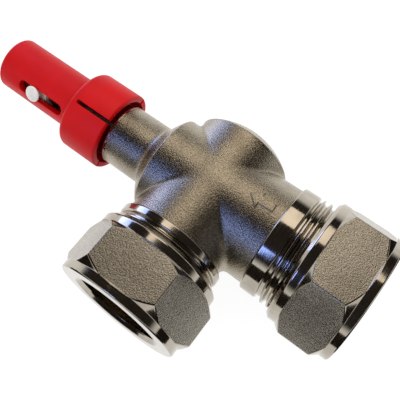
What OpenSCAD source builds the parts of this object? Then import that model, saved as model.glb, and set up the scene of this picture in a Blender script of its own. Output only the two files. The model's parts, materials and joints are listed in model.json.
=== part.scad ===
// Angle bypass valve for a heating circuit, for 22 mm pipe: a forged brass body with a ball-ended
// cross shape, an inlet and an outlet compression joint at right angles, and a spring-loaded disc
// whose opening pressure is set by turning a cap on the neck.
//
// Frame: X runs from the neck to the inlet, the outlet points along -Y and Z is up. The origin is on
// the inlet axis, where the end of the inlet pipe stops. Stations are measured from the point where
// the axes cross: along +X on the neck and inlet axis, and along -Y on the outlet axis.

/* [Body] */
// Diameter of the ball that the two closed arms are cut from
ball_d = 38.4; // [37:0.1:41]
// Station where the ball-shaped end of a closed arm begins
rim_station = 13.9; // [13:0.1:15]
// Diameter of a closed arm at its ball-shaped end
arm_tip_d = 26; // [24:0.1:26.4]
// Diameter of a port arm at its collar
arm_root_d = 27; // [26:0.1:28]
// Radius of the inner corner between the two port arms
crotch_round = 5.5; // [3:0.1:5.6]
// Thickness of the web in that corner
crotch_t = 9; // [6:0.5:14]
// Station of the inlet collar
inlet_reach = 18.9; // [16:0.1:24]
// Station of the outlet collar
outlet_reach = 15.9; // [14.5:0.1:22]
// Station of the tip of the flow arrow on the inlet arm
arrow_at = 10; // [8:0.1:12]
// Length of the flow arrow
arrow_l = 6.7; // [5:0.1:8]
// Width of the flow arrow at its barbs
arrow_w = 5.3; // [4:0.1:7]
// How far the arrow stands out of the arm
arrow_raise = 0.4; // [0.2:0.05:0.7]

/* [Ports] */
// Outside diameter of the pipe that the ports take
pipe_d = 22; // [21.8:0.1:22.4]
// Gap around the pipe in its socket
socket_gap = 0.1; // [0.05:0.01:0.14]
// How far the pipe goes into the end of a port
socket_depth = 14; // [12:0.5:16]
// Diameter of the waterway behind the pipe stop
way_d = 19.2; // [18.6:0.1:20]
// Diameter of the turned collar behind the thread
collar_d = 29; // [28:0.1:30]
// Width of the inlet collar
inlet_collar_w = 4.5; // [2:0.1:6]
// Width of the outlet collar
outlet_collar_w = 2.4; // [1.5:0.1:5]
// Outside diameter of the port thread
thread_d = 29.3; // [28.8:0.1:29.6]
// Distance between two thread crests
thread_pitch = 1.814; // [1.4:0.001:2]
// Depth of the port thread
thread_depth = 1.1; // [0.8:0.05:1.2]
// Length of the inlet thread with its relief
inlet_thread_l = 12.8; // [11:0.1:16]
// Length of the outlet thread with its relief
outlet_thread_l = 10.5; // [9.5:0.1:14]
// Depth of the cone that receives the olive
mouth_depth = 3.5; // [3:0.1:4.5]
// Wide diameter of that cone
mouth_d = 25.8; // [25.4:0.1:26.2]

/* [Nuts and olives] */
// Size of a nut across its flats
nut_af = 32; // [31.8:0.1:34]
// Length of a nut
nut_l = 17.2; // [16.5:0.1:20]
// Diameter of the round shoulder on the side of the body
shoulder_d = 32.9; // [32.4:0.1:33.6]
// Length of that shoulder
shoulder_l = 3.1; // [2:0.1:4]
// Diameter of the round collar on the outer side
nut_collar_d = 33; // [32.4:0.1:33.6]
// Length of that collar
nut_collar_l = 2.2; // [1.5:0.1:3]
// How far a nut is screwed over its port
nut_on_port = 8.6; // [7.5:0.1:9]
// Thickness of the end wall of a nut
nut_wall = 3.6; // [2.6:0.1:4.4]
// Gap between the port thread and the nut
nut_gap = 0.1; // [0.05:0.01:0.2]
// Gap around the pipe in a nut
nut_pipe_gap = 0.2; // [0.1:0.01:0.4]
// Chamfer around the pipe hole of a nut
nut_mouth_chamfer = 0.95; // [0.4:0.05:1.5]
// Angle of a corner of the inlet nut around the axis
inlet_nut_angle = 30; // [0:1:59]
// Angle of a corner of the outlet nut around the axis
outlet_nut_angle = 0; // [0:1:59]
// Thickness of an olive
olive_t = 1.5; // [1.2:0.05:1.6]
// Gap around the pipe in an olive
olive_gap = 0.12; // [0.1:0.01:0.15]
// How far an olive reaches into the cone of its port
olive_in = 2.2; // [1.5:0.1:2.4]

/* [Neck and gland] */
// Diameter of the forged neck
neck_d = 16.6; // [16.2:0.1:18]
// Station of the step where the neck is turned down, on the neck side
neck_reach = 29.3; // [27:0.1:32]
// Diameter of the turned spigot that the cap clips to
spigot_d = 15.8; // [15.4:0.1:16]
// Length of the spigot
spigot_l = 9.3; // [8.5:0.1:11]
// Width of the clip groove in the spigot
clip_groove_w = 1.8; // [1.4:0.1:2.2]
// Depth of the clip groove
clip_groove_depth = 0.6; // [0.4:0.05:0.7]
// Distance from the neck step to the middle of the clip groove
clip_groove_at = 5.7; // [5:0.1:6.5]
// Outside diameter of the gland bush
bush_d = 12.6; // [12.4:0.1:13]
// Length of the gland bush in the neck
bush_l = 10.2; // [9.5:0.1:11]
// Diameter of the bush flange
bush_flange_d = 14.8; // [14:0.1:15.2]
// Thickness of the bush flange
bush_flange_t = 1.2; // [0.8:0.1:1.4]
// Section of the sealing rings
o_ring_t = 1.4; // [1.2:0.1:1.5]
// Distance of the outer spindle ring from the end of the spigot
outer_ring_in = 2.4; // [2:0.1:2.6]
// Distance between the two spindle rings
ring_spacing = 3.2; // [2.4:0.1:3.6]

/* [Spindle] */
// Diameter of the smooth spindle shaft
shaft_d = 8; // [7.6:0.1:8.2]
// Outside diameter of the threaded inner end
screw_d = 12; // [11.6:0.1:12.2]
// Length of the threaded inner end
screw_l = 13; // [12:0.1:13.4]
// Bore of the spring cup in the inner end
cup_d = 9.8; // [9.6:0.1:10]
// Depth of the spring cup
cup_depth = 10.5; // [9.5:0.1:11]
// Diameter of the journal under the pointer ring and the drive hexagon
journal_d = 6.4; // [5.6:0.1:6.8]
// Gap between a part that turns or slides and its bore
running_gap = 0.05; // [0.03:0.01:0.08]
// Travel of the spindle outward from the setting shown
travel_out = 3.6; // [1:0.1:3.6]
// Travel of the spindle inward from the setting shown
travel_in = 8.2; // [4:0.1:8.2]

/* [Cap and pointer] */
// Outside diameter of the cap over the neck
cap_collar_d = 22; // [21:0.1:23.6]
// Outside diameter of the narrow cap tube
cap_tube_d = 14.6; // [14.2:0.1:16]
// Distance of the cap rim from the neck step
cap_rim_gap = 0.4; // [0.3:0.1:0.8]
// Wall of the cap over the neck
cap_wall = 1.6; // [1.2:0.1:1.8]
// Thickness of the closed end of the cap
cap_end_t = 1.6; // [1.2:0.1:3]
// Size across the flats of the drive hexagon
drive_af = 10.2; // [9.6:0.1:10.4]
// Length of the drive hexagon
drive_l = 3.6; // [3:0.1:4]
// Angle of the pointer window around the axis, from +Y towards +Z
window_angle = 149; // [0:1:359]
// Width of the pointer window
window_w = 3.4; // [3.2:0.1:3.8]
// Number of slits that let the collar spring over the spigot
slit_count = 4; // [2:1:8]
// Width of a slit
slit_w = 1; // [0.6:0.1:1.4]
// Angle of the first slit around the axis, from +Y towards +Z
slit_angle = 108; // [0:1:359]
// Distance between the gland flange and the pointer ring at the setting shown
pointer_at = 12; // [11.8:0.1:14]
// Length of the pointer ring
pointer_l = 5; // [4.6:0.1:5.6]
// Diameter of the pointer button
button_d = 4.4; // [4:0.1:5]
// How far the button stands out of the cap
button_proud = 1.2; // [0.6:0.1:1.6]

/* [Disc and seat] */
// Station of the seat lip
seat_station = 5; // [4.6:0.1:5.4]
// Bore of the seat
seat_bore_d = 13.6; // [13:0.1:14]
// Width of the seat lip
lip_w = 0.6; // [0.4:0.1:1]
// Outside diameter of the nose of the seat ring
seat_nose_d = 17.8; // [17:0.1:17.9]
// Station where the seat ring meets its shoulder
seat_shoulder = 9; // [8.6:0.1:10]
// Length of the seat ring behind that shoulder
seat_flange_l = 5; // [3:0.1:7]
// Diameter of the chamber around the disc
chamber_d = 20.8; // [20:0.1:21]
// Station of the end of the chamber, on the neck side
chamber_end = 11.5; // [11:0.1:11.6]
// Diameter of the disc carrier
disc_d = 17.6; // [17:0.1:17.7]
// Thickness of the carrier plate
disc_t = 2; // [1.6:0.1:2.2]
// Thickness of the seal
seal_t = 2.5; // [2:0.1:2.6]
// Depth of the rim that holds the seal
disc_rim = 1.6; // [1:0.1:1.8]
// Diameter of the guide stem
stem_d = 3.8; // [3.4:0.1:4]
// Length of the guide stem behind the spring boss
stem_l = 25; // [23:0.1:26]
// Diameter of the boss that centres the spring
boss_d = 6.6; // [5.8:0.1:6.8]
// Length of that boss
boss_l = 3; // [2:0.1:4]
// Lift of the disc
disc_lift = 3.5; // [2:0.1:3.5]
// Wire of the spring
wire_d = 1.2; // [1:0.1:1.2]
// Turns of the spring
spring_turns = 7.5; // [6:0.5:7.5]

/* [Hidden] */
$fn = 96;
eps = 0.01;

nickel = [0.66, 0.63, 0.57];
brass = [0.83, 0.66, 0.35];
steel = [0.72, 0.73, 0.75];
rubber = [0.08, 0.08, 0.09];

// Port ends, pipe stops and the crossing of the axes
inlet_end = inlet_reach + inlet_collar_w + inlet_thread_l;
outlet_end = outlet_reach + outlet_collar_w + outlet_thread_l;
cross_x = -(inlet_end - socket_depth);
socket_r = pipe_d / 2 + socket_gap;
thread_r = thread_d / 2;
thread_root_r = thread_r - thread_depth;
flank = thread_depth * tan(27.5);
crest_flat = thread_pitch / 2 - flank;
relief_w = 0.9;
web_sink = 3;
arrow_head_l = 3;
arrow_shaft_w = 2.3;
arrow_side = 0.85;
collar_chamfer = 0.4;
end_chamfer = 0.6;

// Nuts and olives, along the nut from its inner face
nut_bore_r = thread_r + nut_gap;
nut_pipe_r = pipe_d / 2 + nut_pipe_gap;
nut_corner_r = nut_af / 2 / cos(30);
nut_entry_chamfer = 0.7;
nut_edge = 0.35;
shoulder_bevel = 1.1;
nut_cone_r = mouth_d / 2 + 0.1;
nut_cone_end = nut_l - nut_wall;
nut_cone_start = nut_cone_end - (nut_cone_r - nut_pipe_r);
nut_runout = nut_on_port + 1;
olive_bore_r = pipe_d / 2 + olive_gap;
olive_r = olive_bore_r + olive_t;
olive_tip = 0.35;
olive_cone = 2;
olive_seat_gap = 0.4;
olive_start = nut_on_port - olive_in;
olive_end = nut_cone_end - olive_seat_gap;

// Neck, gland and spindle
neck_end = neck_reach + spigot_l;
bush_inner = neck_end - bush_l;
bush_bore_gap = 0.05;
bush_ring_r = bush_d / 2 - o_ring_t;
flange_end = neck_end + bush_flange_t;
groove_gap = 0.05;
spanner_slot_w = 2;
groove_w = o_ring_t + 0.3;
o_ring_contact = 0.02;
bush_groove_at = 1.9;
outer_ring_at = neck_end - outer_ring_in;
inner_ring_at = outer_ring_at - ring_spacing;
stop_gap = 0.3;
screw_outer = bush_inner - stop_gap - travel_out;
screw_inner = screw_outer - screw_l;
cup_bottom = screw_inner + cup_depth;
guide_gap = 0.1;
pointer_inner = flange_end + pointer_at;
pointer_outer = pointer_inner + pointer_l;
pointer_mid = (pointer_inner + pointer_outer) / 2;
drive_outer = pointer_outer + drive_l;
screw_head_t = 1.4;
screw_head_d = 7.4;
screw_shank_d = 3;
screw_shank_l = 7;
screw_slot_w = 1;
screw_slot_depth = 0.7;
head_outer = drive_outer + screw_head_t;
pointer_ring_d = 10;
guide_end = disc_back_reach() + travel_in + disc_lift + 1;

// Cap
cap_rim = neck_reach + cap_rim_gap;
cap_gap = 0.4;
cap_shoulder_in = flange_end + cap_gap;
cap_shoulder_out = cap_shoulder_in + cap_wall + 0.1;
cap_bore_r = cap_collar_d / 2 - cap_wall;
cap_end_in = head_outer + travel_out + 0.2;
cap_end = cap_end_in + cap_end_t;
cap_shoulder_round = 1.3;
cap_end_round = 0.9;
cap_rim_round = 0.5;
cap_root_round = 0.5;
drive_gap = 0.1;
bead_w = clip_groove_w - 2 * cap_gap;
bead_r = spigot_d / 2 - clip_groove_depth + 0.15;
bead_mid = neck_reach + clip_groove_at;
shank_d = window_w - 0.4;
window_end_gap = 0.2;
window_outer = pointer_mid + travel_out + shank_d / 2 + window_end_gap;
window_inner = pointer_mid - travel_in - shank_d / 2 - window_end_gap;
slit_root = 0.4;
button_under = cap_tube_d / 2 + 0.12;
button_socket = 1.2;

// Disc, seat and spring
seal_front = seat_station;
seal_back = seal_front - seal_t;
plate_back = seal_back - disc_t;
boss_back = plate_back - boss_l;
seal_hole_r = 3;
washer_d = 11.2;
washer_t = 0.8;
stud_d = 5;
disc_nut_af = 8;
disc_nut_t = 2.7;
seat_step_d = seat_nose_d + 0.2;
seat_fit = 0.05;
spring_washer_t = 0.6;
spring_mean_r = cup_d / 2 - 0.2 - wire_d / 2;
spring_start = -cup_bottom + spring_washer_t;
spring_len = plate_back - spring_start;
wire_sides = 10;
turn_steps = 16;

// Station of the inner end of the guide stem, measured on the neck side
function disc_back_reach() = stem_l + boss_l + disc_t + seal_t - seat_station;

// Points of a quarter round of radius r about [x, y], from angle a to angle b
function corner(x, y, r, a, b, n = 8) =
    [for (i = [0:n]) let (t = a + (b - a) * i / n) [x + r * cos(t), y + r * sin(t)]];

// Places children on the neck and inlet axis, with their +Z along +X from a station
module on_axis(station) {
    translate([cross_x + station, 0, 0]) rotate([0, 90, 0]) children();
}

// Places children on the outlet axis, with their +Z away from the body
module on_outlet(station) {
    translate([cross_x, -station, 0]) rotate([90, 0, 0]) children();
}

// Turns children about the local axis to an angle from +Y towards +Z
module at_angle(angle) {
    rotate(angle + 90) children();
}

// A hexagonal bar along +Z, one corner on local X
module hex_bar(af, h) {
    cylinder(d = af / cos(30), h = h, $fn = 6);
}

// Outline of a port from its collar outward: collar, relief and thread, as [radius, station]
function port_outline(collar_w, thread_l) =
    let (
        first = collar_w + relief_w,
        turns = floor((thread_l - relief_w - end_chamfer) / thread_pitch),
        last = collar_w + thread_l,
        r = collar_d / 2
    ) concat(
        [[0, 0], [r - collar_chamfer, 0], [r, collar_chamfer]],
        [[r, collar_w - collar_chamfer], [r - collar_chamfer, collar_w], [thread_root_r, collar_w]],
        [for (i = [0:turns - 1], p = [0:3])
            let (z = first + i * thread_pitch)
            [p == 0 || p == 3 ? thread_root_r : thread_r,
             z + (p > 0 ? flank : 0) + (p > 1 ? crest_flat : 0) + (p > 2 ? flank : 0)]],
        [[thread_root_r, last - end_chamfer / 2], [thread_root_r - end_chamfer / 2, last], [0, last]]
    );

// What is bored out of a port: the way, the pipe socket and the cone for the olive
module port_bore(way_start, end) {
    stop = end - socket_depth;
    rotate_extrude() polygon([
        [0, way_start], [way_d / 2, way_start], [way_d / 2, stop], [socket_r, stop],
        [socket_r, end - mouth_depth], [mouth_d / 2, end], [mouth_d / 2, end + 1], [0, end + 1]
    ]);
}

// An arm right through the crossing: forging draft towards its closed end, and there a part of the ball
module closed_arm(reach) {
    translate([0, 0, -rim_station - 1])
        cylinder(d1 = arm_tip_d, d2 = arm_root_d, h = rim_station + 1 + reach);
    mirror([0, 0, 1]) intersection() {
        sphere(d = ball_d);
        translate([0, 0, rim_station]) cylinder(d = ball_d, h = ball_d);
    }
}

// Rounds the inner corner between the port arms
module crotch_web() {
    near = arm_root_d / 2 - web_sink;
    far = arm_root_d / 2 + crotch_round;
    translate([cross_x, 0, -crotch_t / 2]) linear_extrude(crotch_t) difference() {
        translate([near, -far]) square(far - near);
        translate([far, -far]) circle(r = crotch_round);
    }
}

// Raised arrow on top of the inlet arm, pointing into the valve
module flow_arrow() {
    half = arrow_w / 2;
    shaft = arrow_shaft_w / 2;
    intersection() {
        translate([cross_x + arrow_at, arrow_side, 0]) linear_extrude(arm_root_d) polygon([
            [0, 0], [arrow_head_l, -half], [arrow_head_l, -shaft], [arrow_l, -shaft],
            [arrow_l, shaft], [arrow_head_l, shaft], [arrow_head_l, half]
        ]);
        on_axis(arrow_at - 1) cylinder(d = arm_root_d + 2 * arrow_raise, h = arrow_l + 2);
    }
}

module valve_body() {
    color(nickel) difference() {
        union() {
            on_axis(0) closed_arm(inlet_reach);
            on_outlet(0) closed_arm(outlet_reach);
            crotch_web();
            flow_arrow();
            on_axis(inlet_reach) rotate_extrude() polygon(port_outline(inlet_collar_w, inlet_thread_l));
            on_outlet(outlet_reach) rotate_extrude() polygon(port_outline(outlet_collar_w, outlet_thread_l));
            on_axis(-neck_reach) cylinder(d = neck_d, h = neck_reach);
            on_axis(-neck_end) cylinder(d = spigot_d, h = spigot_l + 1);
        }
        on_axis(0) port_bore(seat_shoulder, inlet_end);
        on_outlet(0) port_bore(0, outlet_end);
        on_axis(seat_station) cylinder(d = seat_step_d, h = seat_shoulder - seat_station + eps);
        on_axis(-chamber_end) cylinder(d = chamber_d, h = chamber_end + seat_station + 1);
        on_axis(-bush_inner - eps) cylinder(d = screw_d + 2 * running_gap, h = bush_inner);
        on_axis(-neck_end - 1) cylinder(d = bush_d + 2 * bush_bore_gap, h = bush_l + 1);
        on_axis(-bead_mid - clip_groove_w / 2) difference() {
            cylinder(d = spigot_d + 1, h = clip_groove_w);
            translate([0, 0, -1]) cylinder(d = spigot_d - 2 * clip_groove_depth, h = clip_groove_w + 2);
        }
    }
}

// A union nut from its inner face at 0: round shoulder, hexagon, round collar
module union_nut(turn) {
    hex_l = nut_l - shoulder_l - nut_collar_l;
    shoulder_r = shoulder_d / 2;
    collar_r = nut_collar_d / 2;
    past_r = nut_corner_r + 0.3;
    mouth_r = nut_pipe_r + nut_mouth_chamfer;
    difference() {
        union() {
            rotate_extrude() polygon([
                [0, 0], [shoulder_r - shoulder_bevel, 0], [shoulder_r, shoulder_bevel],
                [shoulder_r, shoulder_l], [nut_bore_r, shoulder_l + 1], [0, shoulder_l + 1]
            ]);
            translate([0, 0, shoulder_l]) intersection() {
                rotate(turn) hex_bar(nut_af, hex_l);
                rotate_extrude() polygon([
                    [0, 0], [shoulder_r, 0], [past_r, past_r - shoulder_r],
                    [past_r, hex_l - (past_r - collar_r) * 0.75], [collar_r, hex_l], [0, hex_l]
                ]);
            }
            translate([0, 0, nut_l - nut_collar_l - 1]) rotate_extrude() polygon([
                [0, 0], [nut_bore_r, 0], [collar_r, 1], [collar_r, nut_collar_l + 1 - nut_edge],
                [collar_r - nut_edge, nut_collar_l + 1], [0, nut_collar_l + 1]
            ]);
        }
        rotate_extrude() polygon([
            [0, -1], [nut_bore_r + nut_entry_chamfer, -1], [nut_bore_r + nut_entry_chamfer, 0],
            [nut_bore_r, nut_entry_chamfer], [nut_bore_r, nut_runout], [nut_cone_r, nut_runout],
            [nut_cone_r, nut_cone_start], [nut_pipe_r, nut_cone_end], [nut_pipe_r, nut_l - nut_mouth_chamfer],
            [mouth_r, nut_l], [mouth_r, nut_l + 1], [0, nut_l + 1]
        ]);
    }
}

module inlet_nut() {
    color(nickel) on_axis(inlet_end - nut_on_port) union_nut(inlet_nut_angle);
}

module outlet_nut() {
    color(nickel) on_outlet(outlet_end - nut_on_port) union_nut(outlet_nut_angle);
}

// The soft ring that the nut squeezes onto the pipe, in nut stations
module olive() {
    rotate_extrude() polygon([
        [olive_bore_r, olive_start], [olive_bore_r + olive_tip, olive_start],
        [olive_r, olive_start + olive_cone], [olive_r, olive_end - olive_cone],
        [olive_bore_r + olive_tip, olive_end], [olive_bore_r, olive_end]
    ]);
}

module inlet_olive() {
    color(brass) on_axis(inlet_end - nut_on_port) olive();
}

module outlet_olive() {
    color(brass) on_outlet(outlet_end - nut_on_port) olive();
}

// Screwed in from the inlet: its nose carries the lip that the disc closes on
module seat_ring() {
    nose_r = seat_nose_d / 2;
    lip_r = seat_bore_d / 2 + lip_w;
    flange_r = way_d / 2 - seat_fit;
    back = seat_shoulder + seat_flange_l;
    color(brass) on_axis(0) rotate_extrude() polygon([
        [seat_bore_d / 2, seat_station], [lip_r, seat_station], [nose_r, seat_station + nose_r - lip_r],
        [nose_r, seat_shoulder], [flange_r, seat_shoulder], [flange_r, back],
        [seat_bore_d / 2 + 1, back], [seat_bore_d / 2, back - 2]
    ]);
}

// The turned outline of the cap as [radius, distance from its rim]
function cap_outline() =
    let (
        r = cap_collar_d / 2,
        t = cap_tube_d / 2,
        step = cap_shoulder_out - cap_rim,
        top = cap_end - cap_rim
    ) concat(
        [[0, 0]],
        corner(r - cap_rim_round, cap_rim_round, cap_rim_round, -90, 0, 4),
        corner(r - cap_shoulder_round, step - cap_shoulder_round, cap_shoulder_round, 0, 90),
        corner(t + cap_root_round, step + cap_root_round, cap_root_round, 270, 180, 4),
        corner(t - cap_end_round, top - cap_end_round, cap_end_round, 0, 90),
        [[0, top]]
    );

module setting_cap() {
    window_l = window_outer - window_inner - window_w;
    color([0.76, 0.03, 0.05]) difference() {
        on_axis(-cap_rim) mirror([0, 0, 1]) rotate_extrude() polygon(cap_outline());
        on_axis(-cap_shoulder_in) difference() {
            cylinder(r = cap_bore_r, h = cap_shoulder_in - cap_rim + 1);
            translate([0, 0, cap_shoulder_in - bead_mid - bead_w / 2]) difference() {
                cylinder(r = cap_bore_r + 1, h = bead_w);
                translate([0, 0, -1]) cylinder(r = bead_r, h = bead_w + 2);
            }
        }
        on_axis(-cap_end_in) at_angle(window_angle + 30)
            hex_bar(drive_af + 2 * drive_gap, cap_end_in - cap_shoulder_in + eps);
        on_axis(-window_outer + window_w / 2) at_angle(window_angle) {
            rotate([0, 90, 0]) cylinder(d = window_w, h = cap_collar_d);
            translate([0, -window_w / 2, 0]) cube([cap_collar_d, window_w, window_l]);
            translate([0, 0, window_l]) rotate([0, 90, 0]) cylinder(d = window_w, h = cap_collar_d);
        }
        for (i = [0:slit_count - 1])
            on_axis(-cap_shoulder_in + slit_root) at_angle(slit_angle + i * 360 / slit_count)
                translate([0, -slit_w / 2, 0]) cube([cap_collar_d, slit_w, cap_shoulder_in - cap_rim + 1]);
    }
}

// White ring on the spindle that carries the button seen through the window
module pointer_ring() {
    color("white") on_axis(-pointer_outer) difference() {
        cylinder(d = pointer_ring_d, h = pointer_l);
        translate([0, 0, -1]) cylinder(d = journal_d + 2 * running_gap, h = pointer_l + 2);
        translate([0, 0, pointer_l / 2]) at_angle(window_angle)
            translate([pointer_ring_d / 2 - button_socket, 0, 0])
                rotate([0, 90, 0]) cylinder(d = shank_d, h = pointer_ring_d);
    }
}

module pointer_button() {
    reach = pointer_ring_d / 2 - button_socket;
    face = button_under - reach;
    dome_r = (pow(button_d / 2, 2) + pow(button_proud, 2)) / (2 * button_proud);
    dome_a = asin(button_d / 2 / dome_r);
    color("white") on_axis(-pointer_mid) at_angle(window_angle) translate([reach, 0, 0]) rotate([0, 90, 0])
        rotate_extrude() polygon(concat(
            [[0, 0], [shank_d / 2, 0], [shank_d / 2, face]],
            [for (i = [0:8]) let (a = dome_a * (1 - i / 8))
                [dome_r * sin(a), face + dome_r * cos(a) - dome_r + button_proud]]
        ));
}

// Hexagon that slides in the cap and turns the spindle with it
module drive_hex() {
    color(brass) on_axis(-drive_outer) difference() {
        at_angle(window_angle + 30) hex_bar(drive_af, drive_l);
        translate([0, 0, -1]) cylinder(d = journal_d, h = drive_l + 2);
    }
}

module drive_screw() {
    color(steel) on_axis(-head_outer) difference() {
        union() {
            cylinder(d = screw_head_d, h = screw_head_t);
            cylinder(d = screw_shank_d, h = screw_head_t + screw_shank_l);
        }
        translate([-screw_head_d, -screw_slot_w / 2, -1])
            cube([2 * screw_head_d, screw_slot_w, screw_slot_depth + 1]);
    }
}

module spindle() {
    color(brass) difference() {
        union() {
            on_axis(-screw_outer) cylinder(d = screw_d, h = screw_l);
            on_axis(-pointer_inner) cylinder(d = shaft_d, h = pointer_inner - screw_outer + 1);
            on_axis(-drive_outer) cylinder(d = journal_d, h = drive_outer - pointer_inner + 1);
        }
        on_axis(-cup_bottom) cylinder(d = cup_d, h = cup_depth + 1);
        on_axis(-guide_end) cylinder(d = stem_d + 2 * guide_gap, h = guide_end - cup_bottom + 1);
        on_axis(-drive_outer - 1) cylinder(d = screw_shank_d, h = screw_shank_l + 2);
    }
}

// Screwed into the neck: holds the spindle rings and stops the spindle from coming out
module gland_bush() {
    ring_groove_r = shaft_d / 2 + o_ring_t + groove_gap;
    flange_r = bush_flange_d / 2;
    color(brass) on_axis(0) difference() {
        rotate_extrude() polygon([
            [0, -flange_end], [flange_r - 0.3, -flange_end], [flange_r, -flange_end + 0.3],
            [flange_r, -neck_end], [bush_d / 2, -neck_end], [bush_d / 2, -bush_inner], [0, -bush_inner]
        ]);
        translate([0, 0, -flange_end - 1])
            cylinder(d = shaft_d + 2 * running_gap, h = bush_l + bush_flange_t + 2);
        for (station = [outer_ring_at, inner_ring_at])
            translate([0, 0, -station - groove_w / 2]) cylinder(r = ring_groove_r, h = groove_w);
        translate([0, 0, -bush_inner - bush_groove_at - groove_w / 2]) difference() {
            cylinder(d = bush_d + 1, h = groove_w);
            translate([0, 0, -1]) cylinder(r = bush_ring_r, h = groove_w + 2);
        }
        for (side = [0, 180]) rotate(side)
            translate([bush_d / 2 - 0.2, -spanner_slot_w / 2, -flange_end - 1])
                cube([bush_flange_d, spanner_slot_w, bush_flange_t + 1]);
    }
}

// A sealing ring of round section lying across the axis
module o_ring(mid_r) {
    rotate_extrude() translate([mid_r, 0]) circle(d = o_ring_t, $fn = 32);
}

module bush_o_ring() {
    color(rubber) on_axis(-bush_inner - bush_groove_at)
        o_ring(bush_ring_r + o_ring_t / 2 + bush_bore_gap - o_ring_contact);
}

module outer_spindle_o_ring() {
    color(rubber) on_axis(-outer_ring_at) o_ring(shaft_d / 2 + o_ring_t / 2 + o_ring_contact);
}

module inner_spindle_o_ring() {
    color(rubber) on_axis(-inner_ring_at) o_ring(shaft_d / 2 + o_ring_t / 2 + o_ring_contact);
}

module spring_washer() {
    color(steel) on_axis(-cup_bottom) difference() {
        cylinder(d = cup_d - 0.2, h = spring_washer_t);
        translate([0, 0, -1]) cylinder(d = stem_d + 4 * guide_gap, h = spring_washer_t + 2);
    }
}

// Height of the wire's centre after a share t of all turns: the end coils lie closed
function coil_height(t) =
    let (
        turn = t * spring_turns,
        closed = wire_d * 1.05,
        open = (spring_len - wire_d - 2 * closed) / (spring_turns - 2)
    ) wire_d / 2 + (turn < 1 ? turn * closed
        : turn > spring_turns - 1 ? closed + (spring_turns - 2) * open + (turn - spring_turns + 1) * closed
        : closed + (turn - 1) * open);

module spring() {
    rings = round(spring_turns * turn_steps);
    points = [for (i = [0:rings], j = [0:wire_sides - 1])
        let (t = i / rings, a = 360 * t * spring_turns, b = 360 * j / wire_sides,
             r = spring_mean_r + wire_d / 2 * cos(b))
        [r * cos(a), r * sin(a), coil_height(t) + wire_d / 2 * sin(b)]];
    sides = [for (i = [0:rings - 1], j = [0:wire_sides - 1])
        let (k = (j + 1) % wire_sides)
        [i * wire_sides + j, (i + 1) * wire_sides + j, (i + 1) * wire_sides + k, i * wire_sides + k]];
    ends = [[for (j = [0:wire_sides - 1]) j], [for (j = [wire_sides - 1:-1:0]) rings * wire_sides + j]];
    color(steel) on_axis(spring_start) polyhedron(points, concat(sides, ends));
}

// Holds the seal in front, centres the spring behind and slides in the spindle
module disc_carrier() {
    stud_end = seal_front + washer_t + disc_nut_t + 0.6;
    color(brass) on_axis(0) union() {
        rotate_extrude() polygon([
            [0, boss_back - stem_l], [stem_d / 2, boss_back - stem_l], [stem_d / 2, boss_back],
            [boss_d / 2, boss_back], [boss_d / 2, plate_back], [disc_d / 2, plate_back],
            [disc_d / 2, seal_back + disc_rim], [disc_d / 2 - 0.4, seal_back + disc_rim],
            [disc_d / 2 - 0.4, seal_back], [stud_d / 2, seal_back],
            [stud_d / 2, stud_end], [0, stud_end]
        ]);
    }
}

module disc_seal() {
    color(rubber) on_axis(seal_back) difference() {
        cylinder(d = disc_d - 0.9, h = seal_t);
        translate([0, 0, -1]) cylinder(r = seal_hole_r, h = seal_t + 2);
    }
}

module seal_washer() {
    color(steel) on_axis(seal_front) difference() {
        cylinder(d = washer_d, h = washer_t);
        translate([0, 0, -1]) cylinder(d = stud_d + 0.2, h = washer_t + 2);
    }
}

module disc_nut() {
    color(steel) on_axis(seal_front + washer_t) difference() {
        hex_bar(disc_nut_af, disc_nut_t);
        translate([0, 0, -1]) cylinder(d = stud_d, h = disc_nut_t + 2);
    }
}

valve_body();
inlet_nut();
outlet_nut();
inlet_olive();
outlet_olive();
seat_ring();
setting_cap();
pointer_ring();
pointer_button();
drive_hex();
drive_screw();
spindle();
gland_bush();
bush_o_ring();
outer_spindle_o_ring();
inner_spindle_o_ring();
spring_washer();
spring();
disc_carrier();
disc_seal();
seal_washer();
disc_nut();
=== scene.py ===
"""Angle bypass valve for 22 mm pipe: the finished pieces, their materials, and the studio around them.

Lengths are millimetres until a mesh is written, and stations are measured from the point where the
axes of the ports cross. Angles around an axis run from +Y towards +Z on the neck and inlet axis.
"""
import json
import logging
import math
from dataclasses import dataclass
from enum import Enum
from typing import Any, Callable, Optional, Sequence

import bpy
import bmesh
import numpy as np
from mathutils import Matrix, Vector


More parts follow.
